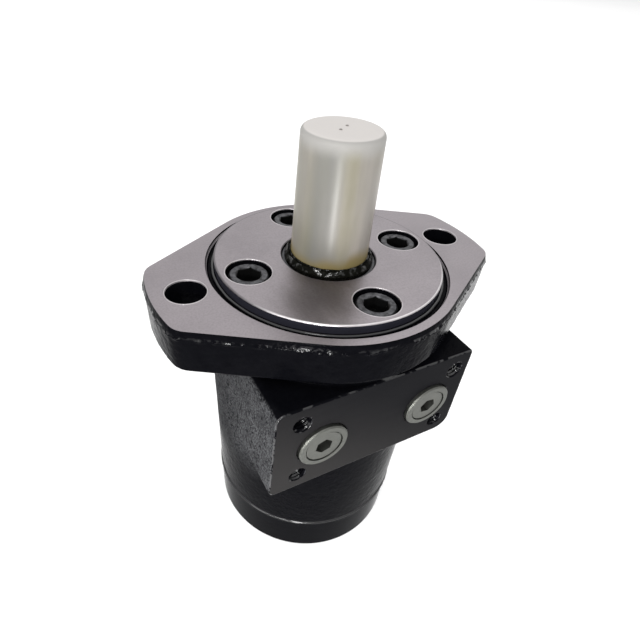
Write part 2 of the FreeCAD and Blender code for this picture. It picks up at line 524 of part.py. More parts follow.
# ---- build --------------------------------------------------------------------------------------------
def build():
    cage, rollers = make_bearing()
    plug = socket_plug(PORT_THREAD_R, 10.0, 9.7, 2.4, 6.0, disc_r=7.4)
    plug_seal = flat_ring(9.6, PORT_THREAD_R + 0.05, 0.8)
    seat_y = BLOCK_FACE_Y + SPOTFACE_DEPTH
    out = V(0, -1, 0)
    ports = {side: V(side * PORT_X, seat_y - 0.8, PORT_Z) for side in (-1, 1)}
    drain_out = polar(1, DRAIN_ANGLE)
    drain_seat = drain_out * (DRAIN_FACE + 1.0) + V(0, 0, DRAIN_Z)
    washer_z = MOTOR_BOTTOM + END_CBORE_DEPTH
    end_washer = rod(END_CBORE_R - 0.1, washer_z - END_WASHER_T, washer_z).cut(
        rod(END_SCREW_R, washer_z - 2, washer_z + 1))
    spacer_top = SPACER_POCKET_BOTTOM + 0.1 + SPACER_T
    spacer = lathe([(0, SPACER_POCKET_BOTTOM + 0.1), (SPACER_R - 0.4, SPACER_POCKET_BOTTOM + 0.1),
                    (SPACER_R, SPACER_POCKET_BOTTOM + 0.5), (SPACER_R, spacer_top - 0.4),
                    (SPACER_R - 0.4, spacer_top), (0, spacer_top)])
    spacer.translate(STAR_CENTRE)
    rear_half = REAR_O_RING[2]

    def rear_o_ring(z):
        return o_ring(REAR_O_RING[0], REAR_O_RING[1], z, rear_half)

    return {
        "front_cover": make_front_cover(),
        "cover_screws": Part.makeCompound(ring_of(make_cover_screw(), COVER_SCREW_PCR, COVER_SCREW_ANGLES)),
        "dust_seal": make_dust_seal(),
        "shaft_seal": make_shaft_seal(),
        "seal_backup_ring": tube(SEAL_R, WEB_R, WEB_BOTTOM - 1.0, WEB_BOTTOM),
        "cover_o_ring": o_ring(COVER_O_RING[0], COVER_O_RING[1], FLANGE_BOTTOM + COVER_O_RING[2],
                               COVER_O_RING[2]),
        "thrust_washer": tube(BEARING_POCKET_R - 0.1, WEB_R + 0.2, SEAL_POCKET_TOP - WASHER_T,
                              SEAL_POCKET_TOP),
        "thrust_bearing_cage": cage,
        "thrust_bearing_rollers": rollers,
        "output_shaft": make_output_shaft(),
        "shaft_cap": make_shaft_cap(),
        "housing": make_housing(),
        "port_plug_a": placed(plug, ports[-1], out, 20),
        "port_plug_b": placed(plug, ports[1], out, 50),
        "port_seal_rings": Part.makeCompound([placed(plug_seal, ports[s], out) for s in (-1, 1)]),
        "drain_plug": placed(socket_plug(DRAIN_R, 8.0, DRAIN_COLLAR_R, 2.4, 5.0), drain_seat, drain_out),
        "drain_washer": placed(flat_ring(DRAIN_COLLAR_R, DRAIN_R, 1.0), drain_seat, drain_out),
        "housing_o_ring": rear_o_ring(HOUSING_BOTTOM + rear_half),
        "spacer_plate": make_spacer_plate(),
        "plate_o_ring": rear_o_ring(PLATE_BOTTOM + rear_half),
        "gerotor_ring": make_gerotor_ring(),
        "gerotor_star": make_gerotor_star(),
        "drive_link": make_drive_link(),
        "link_spacer": spacer,
        "end_cover_o_ring": rear_o_ring(RING_BOTTOM - rear_half),
        "end_cover": make_end_cover(),
        "end_screws": Part.makeCompound(ring_of(make_end_screw(), END_SCREW_PCR, LOBE_ANGLES)),
        "end_screw_washers": Part.makeCompound(ring_of(end_washer, END_SCREW_PCR, LOBE_ANGLES)),
    }


os.makedirs("parts", exist_ok=True)
for name, shape in build().items():
    bad = [s for s in shape.Solids if not s.isValid() or s.Volume <= 0]
    if bad or not shape.Solids:
        raise ValueError("bad solid in " + name)
    shape.exportStep("parts/%s.step" % name)
    print("%-24s %3d solid(s) %12.1f mm3" % (name, len(shape.Solids), shape.Volume))
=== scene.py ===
"""Hydraulic motor: looks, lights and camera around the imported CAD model. Units are metres."""
import json
import math

import bmesh
import bpy
import numpy as np
from mathutils import Matrix, Vector, noise


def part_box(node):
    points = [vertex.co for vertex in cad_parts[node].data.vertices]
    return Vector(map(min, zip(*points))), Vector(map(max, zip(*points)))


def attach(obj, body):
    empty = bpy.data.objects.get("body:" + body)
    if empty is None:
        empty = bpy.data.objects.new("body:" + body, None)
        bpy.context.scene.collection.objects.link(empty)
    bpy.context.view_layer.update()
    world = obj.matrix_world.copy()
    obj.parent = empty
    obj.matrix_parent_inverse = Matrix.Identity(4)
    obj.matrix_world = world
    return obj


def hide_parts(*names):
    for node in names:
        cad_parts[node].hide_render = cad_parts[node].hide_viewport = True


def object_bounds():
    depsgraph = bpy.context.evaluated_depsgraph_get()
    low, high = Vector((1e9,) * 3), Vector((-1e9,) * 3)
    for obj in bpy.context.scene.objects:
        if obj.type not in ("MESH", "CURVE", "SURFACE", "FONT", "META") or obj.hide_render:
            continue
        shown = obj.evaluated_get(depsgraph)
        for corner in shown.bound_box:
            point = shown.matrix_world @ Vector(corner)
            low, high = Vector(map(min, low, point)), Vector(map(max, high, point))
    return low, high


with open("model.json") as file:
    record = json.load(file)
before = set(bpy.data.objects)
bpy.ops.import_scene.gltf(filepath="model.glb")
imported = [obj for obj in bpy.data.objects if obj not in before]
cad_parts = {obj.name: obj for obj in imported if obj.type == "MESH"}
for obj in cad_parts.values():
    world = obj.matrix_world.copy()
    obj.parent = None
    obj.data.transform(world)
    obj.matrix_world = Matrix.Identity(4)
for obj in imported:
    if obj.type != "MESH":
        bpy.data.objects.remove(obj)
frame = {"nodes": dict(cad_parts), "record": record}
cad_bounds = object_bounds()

MM = 0.001
FULL_TURN = 2 * math.pi
NODES = frame["nodes"]
MOUNTS = {mount["name"]: mount for mount in frame["record"]["mounts"]}

# Sizes shared with the CAD model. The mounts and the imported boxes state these.
MOUNTING_HOLE_X = MOUNTS["mounting_holes"]["dims"]["spacing_x_mm"] / 2 * MM
MOUNTING_HOLE_R = MOUNTS["mounting_holes"]["dims"]["hole_r_mm"] * MM
_, PORT_FACE_Y, BOLT_MID_Z = MOUNTS["port_bolts"]["pos_m"]
BOLT_X = MOUNTS["port_bolts"]["dims"]["spacing_x_mm"] / 2 * MM
BOLT_DZ = MOUNTS["port_bolts"]["dims"]["spacing_y_mm"] / 2 * MM
PORT_X, _, PORT_Z = MOUNTS["port_b"]["pos_m"]
JOINT_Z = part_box("housing")[0][2]            # joint between the housing and the rear section
# The record doesn't state these.
PILOT_TOP = 2.5 * MM
SCREW_CIRCLE_R, COUNTERBORE_R = 31.25 * MM, 7.9 * MM
BARREL_R = 44.45 * MM


# ---- node helper --------------------------------------------------------------------------------------
class Graph:
    """A material's node tree, with one call for each node that the looks below need."""

    SOCKETS = {"color": "Base Color", "metal": "Metallic", "rough": "Roughness", "ior": "IOR",
               "through": "Transmission Weight", "specular": "Specular IOR Level"}

    def __init__(self, name):
        self.material = bpy.data.materials.new(name)
        self.material.use_nodes = True
        self.tree = self.material.node_tree
        self.tree.nodes.clear()
        self.out = self.add("ShaderNodeOutputMaterial")
        self.shader = self.add("ShaderNodeBsdfPrincipled")
        self.link(self.shader.outputs[0], self.out.inputs["Surface"])
        self.coords = self.add("ShaderNodeTexCoord").outputs["Object"]
        self.normal = self.add("ShaderNodeNewGeometry").outputs["Normal"]

    def add(self, kind, **settings):
        node = self.tree.nodes.new(kind)
        for key, value in settings.items():
            setattr(node, key, value)
        return node

    def link(self, source, target):
        self.tree.links.new(source, target)

    def feed(self, socket, value):
        """Links a socket, or sets a plain value on it."""
        if isinstance(value, bpy.types.NodeSocket):
            self.link(value, socket)
        else:
            socket.default_value = value

    def math(self, operation, a, b=0.0):
        node = self.add("ShaderNodeMath", operation=operation)
        self.feed(node.inputs[0], a)
        self.feed(node.inputs[1], b)
        return node.outputs[0]

    def product(self, first, *others):
        for other in others:
            first = self.math("MULTIPLY", first, other)
        return first

    def minus(self, value):
        return self.math("MULTIPLY", value, -1.0)

    def length(self, a, b):
        """Length of the vector (a, b)."""
        return self.math("SQRT", self.math("ADD", self.product(a, a), self.product(b, b)))

    def split(self, vector):
        node = self.add("ShaderNodeSeparateXYZ")
        self.link(vector, node.inputs[0])
        return node.outputs

    def above(self, value, low, high):
        """0 below low, 1 above high, smooth between."""
        node = self.add("ShaderNodeMapRange", interpolation_type="SMOOTHSTEP")
        self.feed(node.inputs["Value"], value)
        node.inputs["From Min"].default_value = low
        node.inputs["From Max"].default_value = high
        return node.outputs[0]

    def below(self, value, low, high):
        """1 below low, 0 above high, smooth between."""
        return self.math("SUBTRACT", 1.0, self.above(value, low, high))

    def noise(self, scale, detail=4.0, rough=0.55, stretch=(1, 1, 1), offset=(0, 0, 0)):
        mapping = self.add("ShaderNodeMapping")
        mapping.inputs["Scale"].default_value = stretch
        mapping.inputs["Location"].default_value = offset
        self.link(self.coords, mapping.inputs[0])
        node = self.add("ShaderNodeTexNoise")
        self.link(mapping.outputs[0], node.inputs["Vector"])
        node.inputs["Scale"].default_value = scale
        node.inputs["Detail"].default_value = detail
        node.inputs["Roughness"].default_value = rough
        return node.outputs["Fac"]

    def turning_marks(self, radius, per_metre):
        """Uneven rings round the axis, as a lathe leaves them."""
        node = self.add("ShaderNodeTexNoise", noise_dimensions="1D")
        self.feed(node.inputs["W"], self.product(radius, per_metre))
        node.inputs["Scale"].default_value = 1.0
        node.inputs["Detail"].default_value = 2.0
        return node.outputs["Fac"]

    def mix(self, factor, a, b):
        """Colour between a and b."""
        node = self.add("ShaderNodeMix", data_type="RGBA")
        self.feed(node.inputs[0], factor)
        for socket, value in ((node.inputs[6], a), (node.inputs[7], b)):
            self.feed(socket, value if isinstance(value, bpy.types.NodeSocket) else (*value, 1.0))
        return node.outputs[2]

    def blend(self, factor, a, b):
        """Number between a and b."""
        node = self.add("ShaderNodeMix", data_type="FLOAT")
        self.feed(node.inputs[0], factor)
        self.feed(node.inputs[2], a)
        self.feed(node.inputs[3], b)
        return node.outputs[0]

    def bump(self, height, distance, strength):
        node = self.add("ShaderNodeBump")
        node.inputs["Strength"].default_value = strength
        node.inputs["Distance"].default_value = distance
        self.link(height, node.inputs["Height"])
        self.link(node.outputs[0], self.shader.inputs["Normal"])

    def set(self, **values):
        for key, value in values.items():
            self.feed(self.shader.inputs[self.SOCKETS[key]], value)
        return self.material


# ---- materials ----------------------------------------------------------------------------------------
PAINT, PAINT_WORN = (0.0012, 0.0012, 0.0019), (0.0032, 0.0033, 0.0043)
PAINT_DULL, PAINT_WET = 0.010, 0.55      # specular level of the paint, and of its wet-looking edges
STEEL, STEEL_STAIN, STEEL_BRIGHT = (0.27, 0.245, 0.26), (0.19, 0.172, 0.185), (0.35, 0.325, 0.335)
# The second tone on the next line is painted shade, for the dark patch in front of the shaft.
STEEL_SPECK, STEEL_PAINTED_SHADE = (0.14, 0.125, 0.132), (0.085, 0.075, 0.075)


def paint_finish(g):
    """Colour, roughness and relief of thick gloss paint over a casting."""
    coarse, fine = g.noise(330, 3), g.noise(1000, 3)
    relief = g.math("ADD", g.product(coarse, 0.7), g.product(fine, 0.3))
    return g.mix(coarse, PAINT, PAINT_WORN), g.blend(fine, 0.10, 0.26), relief


def bare_steel(g, x, y, rings):
    """Turned steel with grain, specks and stains, and a dark patch in front of the shaft: painted shadow and
    reflection of the protector.
    """
    stain = g.above(g.noise(34, 5, 0.6), 0.42, 0.70)
    steel = g.mix(g.product(stain, 0.55), STEEL, STEEL_STAIN)
    grain = g.noise(420, 4, 0.6, (0.25, 2.2, 1))
    steel = g.mix(g.product(g.blend(0.5, rings, grain), 0.60), steel, STEEL_BRIGHT)
    specks = g.above(g.noise(1500, 3, 0.65), 0.35, 0.75)
    steel = g.mix(g.product(specks, 0.30), steel, STEEL_SPECK)
    # Painted shade: a ragged dark patch in front of the shaft stands in for the protector's shadow and its
    # dark reflection.
    reach = g.length(g.math("ADD", x, 17 * MM), g.math("ADD", y, 23 * MM))
    ragged = g.math("ADD", reach, g.product(g.noise(70, 5, 0.65, (1.6, 0.5, 1)), 26 * MM))
    painted_shade_patch = g.below(ragged, 14 * MM, 32 * MM)
    return g.mix(g.product(painted_shade_patch, 0.60), steel, STEEL_PAINTED_SHADE)


def cover_material():
    """Machined faces left bare, everything else under gloss paint, with a painted reflection on the pilot's
    groove wall.
    """
    g = Graph("front_cover_finish")
    x, y, z = g.split(g.coords)
    _, _, nz = g.split(g.normal)
    paint, paint_rough, relief = paint_finish(g)
    radius = g.length(x, y)
    facing_up = g.above(nz, 0.55, 0.75)
    above_groove = g.above(z, -1.35 * MM, -1.15 * MM)
    outside_bore = g.above(radius, 15.6 * MM, 15.9 * MM)
    bare = g.product(facing_up, above_groove, outside_bore)
    rings = g.turning_marks(radius, 3600.0)
    # Painted reflection: the pilot's groove wall is lighter and bluer, standing in for the machined face
    # reflected in it.
    groove_wall_painted_reflection = g.product(g.above(radius, 40.9 * MM, 41.1 * MM), g.below(radius, 41.5 * MM, 41.8 * MM))
    paint = g.mix(groove_wall_painted_reflection, paint, (0.016, 0.016, 0.022))
    g.bump(g.blend(bare, relief, g.product(rings, 0.02)), 0.5 * MM, 0.8)
    return g.set(color=g.mix(bare, paint, bare_steel(g, x, y, rings)), metal=bare,
                 rough=g.blend(bare, paint_rough, g.blend(rings, 0.34, 0.46)), specular=PAINT_DULL)


def cast_colour(g, toward_ports):
    """Grey speckled skin with dark pits, fainter away from the port block."""
    speckle = g.above(g.noise(1500, 3, 0.6), 0.36, 0.62)
    cloud = g.above(g.noise(110, 4), 0.30, 0.70)
    light = g.mix(cloud, (0.050, 0.051, 0.054), (0.086, 0.087, 0.091))
    cast = g.mix(speckle, (0.010, 0.010, 0.011), light)
    pits = g.above(g.noise(520, 4, 0.6, (1, 1, 1), (5, 2, 0)), 0.36, 0.44)
    cast = g.mix(pits, (0.006, 0.006, 0.007), cast)
    on_block = g.above(toward_ports, 4 * MM, 20 * MM)
    return g.mix(g.blend(on_block, 0.35, 0.0), cast, PAINT)


def housing_material():
    """Gloss paint on the round body, matt and speckled on the port block's rough sides."""
    g = Graph("housing_finish")
    x, y, z = g.split(g.coords)
    nx, ny, _ = g.split(g.normal)
    toward_ports, facing_ports = g.minus(y), g.minus(ny)
    paint, paint_rough, relief = paint_finish(g)
    cast = g.product(g.above(g.math("ABSOLUTE", nx), 0.72, 0.93), g.above(z, -92 * MM, -66 * MM))

    port_face = g.product(g.above(facing_ports, 0.95, 0.99), g.above(toward_ports, 45.2 * MM, 45.5 * MM))
    brushed = g.noise(90, 5, 0.6, (0.35, 1, 3))
    lower_left = g.above(g.math("ADD", g.product(x, -0.6), g.minus(z)), 20 * MM, 85 * MM)
    face = g.mix(brushed, (0.004, 0.004, 0.005), (0.009, 0.009, 0.010))
    face = g.mix(lower_left, face, (0.022, 0.021, 0.021))

    brink = g.product(g.above(facing_ports, 0.25, 0.45), g.below(facing_ports, 0.90, 0.98),
                      g.above(toward_ports, 44.4 * MM, 44.8 * MM))
    glint = g.product(brink, g.above(g.noise(240, 3), 0.46, 0.54))

    g.bump(g.blend(port_face, relief, g.product(relief, 0.06)), 0.3 * MM, 0.6)
    return g.set(color=g.mix(port_face, g.mix(cast, paint, cast_colour(g, toward_ports)), face),
                 rough=g.blend(port_face, g.blend(cast, paint_rough, 0.62), g.blend(brushed, 0.36, 0.50)),
                 specular=g.blend(glint, PAINT_DULL, PAINT_WET))


def wet_paint_material(name, wet_from, wet_to, patchy, relief):
    """Gloss paint that looks wet between two heights, in patches or all along, where it faces upwards."""
    g = Graph(name)
    _, _, z = g.split(g.coords)
    _, _, nz = g.split(g.normal)
    paint, _, bumps = paint_finish(g)
    soft = 0.25 * MM
    wet = g.product(g.above(z, wet_from - soft, wet_from), g.below(z, wet_to, wet_to + soft),
                    g.above(nz, 0.18, 0.45))
    if patchy:
        wet = g.product(wet, g.above(g.noise(230, 5, 0.65), 0.47, 0.55))
    g.bump(bumps, relief, 0.5)
    return g.set(color=paint, rough=g.blend(bumps, 0.08, 0.22), specular=g.blend(wet, PAINT_DULL, PAINT_WET))


def pilot_edge_material():
    """Worn pilot corner, lighter where it faces the ports and darker behind: painted highlight and painted
    shade.
    """
    g = Graph("pilot_edge_finish")
    _, y, _ = g.split(g.coords)
    # Painted highlight at the front, facing the ports, and painted shade behind.
    front = g.above(g.minus(y), 8 * MM, 34 * MM)
    wear = g.noise(260, 5, 0.6)
    painted_shade_tone = g.mix(wear, (0.10, 0.092, 0.098), (0.20, 0.185, 0.195))
    painted_highlight_tone = g.mix(wear, (0.40, 0.38, 0.39), (0.74, 0.71, 0.72))
    g.bump(g.noise(900, 3), 0.03 * MM, 0.6)
    return g.set(color=g.mix(front, painted_shade_tone, painted_highlight_tone), metal=1.0, rough=g.blend(wear, 0.22, 0.40))


def screw_material():
    """Black-oxide screws, worn grey on top of the head; below the top, the socket included, near black as
    painted shade.
    """
    g = Graph("cover_screw_finish")
    _, _, z = g.split(g.coords)
    top = g.above(z, 1.0 * MM, 1.3 * MM)
    wear = g.noise(500, 5, 0.6)
    # Painted shade: everything below the head's top, the socket and the sides in the counterbore, is near
    # black.
    socket = g.mix(wear, (0.002, 0.002, 0.002), (0.006, 0.006, 0.006))
    worn = g.mix(g.above(wear, 0.3, 0.7), (0.022, 0.022, 0.024), (0.105, 0.105, 0.112))
    g.bump(g.noise(1300, 3), 0.04 * MM, 0.6)
    return g.set(color=g.mix(top, socket, worn), metal=g.blend(top, 0.0, 0.9),
                 rough=g.blend(wear, 0.28, 0.48), specular=0.10)


def grease_material():
    """Black grease, wet in patches."""
    g = Graph("shaft_grease_finish")
    grain = g.noise(600, 4)
    wet = g.above(g.noise(420, 4, 0.6, (1, 1, 1), (7, 0, 3)), 0.50, 0.60)
    g.bump(grain, 0.30 * MM, 0.8)
    return g.set(color=g.mix(grain, (0.0015, 0.0015, 0.0015), (0.006, 0.006, 0.004)),
                 rough=g.blend(wet, g.blend(grain, 0.16, 0.42), 0.10), specular=g.blend(wet, 0.02, 0.60))


def metal_material(name, light, dark, rough, scale=260, relief=0.03 * MM):
    """Metal that is unevenly worn between two tones."""
    g = Graph(name)
    wear = g.noise(scale, 5, 0.6)
    g.bump(g.noise(scale * 5, 3), relief, 0.6)
    return g.set(color=g.mix(wear, dark, light), metal=1.0, rough=g.blend(wear, rough - 0.08, rough + 0.1))


def rubber_material():
    g = Graph("seal_rubber_finish")
    grain = g.noise(700, 4)
    g.bump(grain, 0.05 * MM, 0.5)
    return g.set(color=g.mix(grain, (0.008, 0.008, 0.008), (0.02, 0.019, 0.018)),
                 rough=g.blend(grain, 0.22, 0.5), specular=0.3)


def cap_material():
    """Milky moulded plastic: clouded, streaked, whiter on its end and yellowed where it meets the seal, with
    painted shade in three bands round it and over its crown.
    """
    g = Graph("protector_plastic")
    x, y, z = g.split(g.coords)
    _, _, nz = g.split(g.normal)
    cloud = g.above(g.noise(60, 4, 0.5, (1, 1, 0.30)), 0.30, 0.70)
    streaks = g.noise(190, 3, 0.5, (1, 1, 0.05))
    milk = g.mix(cloud, (0.235, 0.22, 0.155), (0.40, 0.365, 0.33))
    milk = g.mix(g.product(g.above(streaks, 0.35, 0.7), 0.65), milk, (0.235, 0.222, 0.205))
    # Painted shade: three darker, cooler bands round the sleeve, one facing the camera, stand in for the
    # steel shaft seen through the plastic.
    turn = g.math("ADD", g.math("ARCTAN2", y, x), math.radians(138))
    painted_shade_bands = g.above(g.math("COSINE", g.product(turn, 3.0)), 0.0, 1.0)
    milk = g.mix(g.product(painted_shade_bands, 0.60), milk, (0.165, 0.168, 0.170))

    depth = g.math("ADD", g.minus(z), g.product(cloud, 4 * MM))
    yellowed = g.mix(g.above(depth, -8.5 * MM, -3.0 * MM), milk, (0.24, 0.19, 0.08))
    # Painted shade: the crown, from 39 mm up, takes a darker even tone than the end face.
    shoulder = g.above(g.math("ADD", z, g.product(cloud, 1.2 * MM)), 39.0 * MM, 44.2 * MM)
    end_face = g.product(g.above(nz, 0.80, 0.97), g.above(z, 40 * MM, 41 * MM))
    color = g.mix(end_face, g.mix(shoulder, yellowed, (0.275, 0.268, 0.255)), (0.465, 0.442, 0.425))
    g.bump(g.noise(420, 4, 0.6), 0.05 * MM, 0.5)
    return g.set(color=color, rough=g.blend(shoulder, g.blend(streaks, 0.27, 0.42), 0.50),
                 through=g.blend(shoulder, 0.30, 0.04), specular=0.38, ior=1.46)


def seal_material():
    """Grey pressed rim outside, greasy black lip inside."""
    g = Graph("dust_seal_finish")
    x, y, _ = g.split(g.coords)
    grain = g.noise(900, 4)
    rim = g.above(g.length(x, y), 15.6 * MM, 15.8 * MM)
    lip_colour = g.mix(grain, (0.004, 0.004, 0.004), (0.012, 0.011, 0.009))
    rim_colour = g.mix(grain, (0.045, 0.045, 0.05), (0.10, 0.10, 0.105))
    g.bump(g.noise(1400, 3), 0.25 * MM, 0.9)
    return g.set(color=g.mix(rim, lip_colour, rim_colour),
                 rough=g.blend(rim, g.blend(grain, 0.08, 0.35), 0.42), specular=0.2)


# Looks of the record's material slots.
SLOT_LOOKS = {
    "machined_steel": cover_material(),
    "black_oxide": metal_material("black_oxide_finish", (0.13, 0.13, 0.14), (0.035, 0.035, 0.038), 0.42),
    "black_paint": wet_paint_material("rear_section_finish", -114.2 * MM, -112.9 * MM, False, 0.10 * MM),
    "zinc": metal_material("zinc_plate_finish", (0.148, 0.151, 0.137), (0.075, 0.077, 0.070), 0.46, 420),
    "rubber": rubber_material(),
    "ground_steel": metal_material("ground_steel_finish", (0.46, 0.45, 0.44), (0.36, 0.35, 0.34), 0.28,
                                   900, 0.01 * MM),
    "cap_plastic": cap_material(),
    "seal_fibre": metal_material("seal_fibre_finish", (0.30, 0.16, 0.09), (0.18, 0.09, 0.05), 0.55),
}
# Looks of single CAD nodes, in place of their slot's.
NODE_LOOKS = {"housing": housing_material(), "dust_seal": seal_material(), "cover_screws": screw_material()}
# Looks of the detailed pieces made below.
FLANGE_PAINT = wet_paint_material("flange_paint_finish", -9.0 * MM, -1.9 * MM, True, 0.20 * MM)
THREAD_PAINT = wet_paint_material("painted_thread_finish", -70 * MM, -20 * MM, True, 0.3 * MM)
JOINT_PAINT = wet_paint_material("joint_bead_finish", -115 * MM, -111 * MM, False, 0.12 * MM)
POOLED_PAINT = wet_paint_material("pooled_paint_finish", -2 * MM, 0, False, 0.04 * MM)
GREASE = grease_material()
PILOT_EDGE = pilot_edge_material()
BORE_EDGE = metal_material("bore_edge_finish", (0.60, 0.57, 0.58), (0.34, 0.32, 0.33), 0.30)
GATE_MARK = metal_material("gate_mark_finish", (0.34, 0.32, 0.30), (0.16, 0.15, 0.14), 0.5)

slot_of = {part["node"]: part["material_slot"] for part in frame["record"]["subparts"]}
for name, node in NODES.items():
    node.data.materials.clear()
    node.data.materials.append(NODE_LOOKS.get(name) or SLOT_LOOKS[slot_of[name]])


# ---- mesh helpers -------------------------------------------------------------------------------------
def new_piece(name, mesh, look, body, node=None):
    """Adds a finished mesh as a piece of the object, riding on a CAD body."""
    piece = bpy.data.objects.new(name, mesh)
    bpy.context.collection.objects.link(piece)
    mesh.materials.clear()
    mesh.materials.append(look)
    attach(piece, body)
    if node:
        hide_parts(node)


def smooth_by_angle(mesh, degrees=35.0):
    """Smooth shading everywhere but across edges sharper than the angle."""
    mesh.shade_smooth()
    mesh.set_sharp_from_angle(angle=math.radians(degrees))


def finish_bmesh(bm, name):
    mesh = bpy.data.meshes.new(name)
    bm.to_mesh(mesh)
    bm.free()
    smooth_by_angle(mesh)
    return mesh


def round_about(angle):
    """Unit vector in the XY plane at an angle from +X."""
    return Vector((math.cos(angle), math.sin(angle), 0))


def join_rows(bm, rows):
    """Quads between closed rows of vertices, and between the last row and the first."""
    width = len(rows[0])
    for one, two in zip(rows, rows[1:] + rows[:1]):
        for k in range(width):
            n = (k + 1) % width
            bm.faces.new((one[k], one[n], two[n], two[k]))


def turned(profile, segments, shape=lambda r, z, a: (r, z)):
    """bmesh of a closed (radius, z) profile turned about Z; shape may move each point."""
    bm = bmesh.new()
    rings = []
    for r, z in profile:
        ring = []
        for k in range(segments):
            a = FULL_TURN * k / segments
            rr, zz = shape(r, z, a)
            ring.append(bm.verts.new((rr * math.cos(a), rr * math.sin(a), zz)))
        rings.append(ring)
    join_rows(bm, rings)
    bmesh.ops.remove_doubles(bm, verts=bm.verts, dist=1e-7)
    bmesh.ops.dissolve_degenerate(bm, edges=bm.edges, dist=1e-7)
    bmesh.ops.recalc_face_normals(bm, faces=bm.faces)
    return bm


def arc(centre_r, centre_z, radius, start, end, steps):
    """Points of a rounded corner in a (radius, z) profile, angles in degrees."""
    out = []
    for k in range(steps + 1):
        a = math.radians(start + (end - start) * k / steps)
        out.append((centre_r + radius * math.cos(a), centre_z + radius * math.sin(a)))
    return out


def round_section(centre_r, centre_z, radius, points=24):
    """Profile of a ring with a round section."""
    return arc(centre_r, centre_z, radius, 0, 360 - 360 / points, points - 1)


def grid_mesh(name, rows):
    """Closed mesh through rows of points, each row once round the axis."""
    bm = bmesh.new()
    join_rows(bm, [[bm.verts.new(point) for point in row] for row in rows])
    bmesh.ops.recalc_face_normals(bm, faces=bm.faces)
    return finish_bmesh(bm, name)


def remeshed(node, voxel):
    """Even, dense copy of a CAD node's mesh."""
    temp = bpy.data.objects.new("temp", NODES[node].data.copy())
    bpy.context.collection.objects.link(temp)
    grid = temp.modifiers.new("grid", "REMESH")
    grid.mode, grid.voxel_size = "VOXEL", voxel
    ready = temp.evaluated_get(bpy.context.evaluated_depsgraph_get())
    mesh = bpy.data.meshes.new_from_object(ready)
    bpy.data.objects.remove(temp)
    return mesh


def ramp(value, low, high):
    """0 below low, 1 above high, straight between."""
    return np.clip((value - low) / (high - low), 0.0, 1.0)


# ---- shaft protector ----------------------------------------------------------------------------------
def protector_profile(low, top, roof):
    """Open end down: lip, tapered outer wall, rounded crown, slightly domed end, then the inside."""
    outer_low, outer_high, inner_low, inner_high = 13.90 * MM, 13.10 * MM, 13.15 * MM, 12.62 * MM
    crown_r, lip_r, roof_r = 1.7 * MM, 0.15 * MM, 1.0 * MM
    wall_steps, inner_steps = 24, 12
    lip = [(inner_low + lip_r, low), (outer_low - lip_r, low), (outer_low, low + 0.2 * MM)]
    wall_height = top - crown_r - low
    wall = [(outer_low + (outer_high - outer_low) * share, low + wall_height * share)
            for share in (k / wall_steps for k in range(1, wall_steps + 1))]
    crown = arc(outer_high - crown_r, top - crown_r, crown_r, 0, 90, 8)[1:]
    dome = [(r * MM, top + lift * MM) for r, lift in ((9.0, 0.03), (6.0, 0.02), (3.0, -0.01), (0.0, 0.0))]
    inside = [(0.0, roof), (inner_high - roof_r, roof), (inner_high, roof - roof_r)]
    inside += [(inner_high + (inner_low - inner_high) * share, roof + (low - roof) * share)
               for share in (k / inner_steps for k in range(1, inner_steps))]
    inside.append((inner_low, low + lip_r))
    return lip + wall + crown + dome + inside


def make_protector():
    """Thin moulded sleeve with a closed, rounded end, open at the bottom, and two gate marks on top."""
    (_, _, low), (_, _, high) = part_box("shaft_cap")
    top, roof, full_sway_r = high - 0.3 * MM, high - 2.2 * MM, 13.10 * MM

    def sway(r, z, a):
        out_of_round = 0.05 * MM * math.sin(2 * a + 0.7) + 0.03 * MM * math.sin(3 * a + 90 * z)
        return (r + out_of_round * min(1.0, r / full_sway_r), z)

    sleeve = turned(protector_profile(low, top, roof), 160, sway)
    new_piece("shaft_protector_sleeve", finish_bmesh(sleeve, "shaft_protector_sleeve"),
              SLOT_LOOKS["cap_plastic"], "shaft_protector", "shaft_cap")
    for k, angle in enumerate((35, 215)):
        nub = turned([(0.0, top - 0.6 * MM), (0.55 * MM, top - 0.6 * MM), (0.5 * MM, top + 0.10 * MM),
                      (0.3 * MM, top + 0.22 * MM), (0.0, top + 0.12 * MM)], 20)
        bmesh.ops.translate(nub, verts=nub.verts, vec=round_about(math.radians(angle)) * 2.4 * MM)
        new_piece("protector_gate_mark_%d" % (k + 1), finish_bmesh(nub, "gate_mark"), GATE_MARK,
                  "shaft_protector")


# ---- housing ------------------------------------------------------------------------------------------
def cast_share(places, normals):
    """1 on the housing's cast skin and 0 on its machined port face, ends and bores, with soft borders."""
    (_, front, bottom), (_, _, top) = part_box("housing")
    x, y, z = places.T
    radius = np.hypot(x, y)
    outward = (normals[:, 0] * x + normals[:, 1] * y) / np.maximum(radius, 1e-6)
    on_barrel = (radius > BARREL_R - 0.95 * MM) & (outward > 0.3)
    on_block = (y < -15 * MM) & (np.abs(normals[:, 1]) < 0.6) & (radius > 40 * MM) & (outward > -0.6)
    in_hole = np.zeros(len(places), dtype=bool)
    within_block = np.abs(x) < 37.5 * MM
    port_clear_r, bolt_clear_r = 11.5 * MM, 4.6 * MM
    holes = [(PORT_X, PORT_Z, port_clear_r)]
    holes += [(BOLT_X, BOLT_MID_Z + dz, bolt_clear_r) for dz in (BOLT_DZ, -BOLT_DZ)]
    for hole_x, hole_z, clear_r in holes:
        in_hole |= (np.hypot(np.abs(x) - hole_x, z - hole_z) < clear_r) & within_block
    share = (on_barrel | (on_block & ~in_hole)).astype(float)
    share *= ramp(z, bottom + 0.8 * MM, bottom + 3 * MM) * ramp(-z, -top + 0.2 * MM, -top + 1.5 * MM)
    return share * ramp(y, front + 0.5 * MM, front + 2.5 * MM)


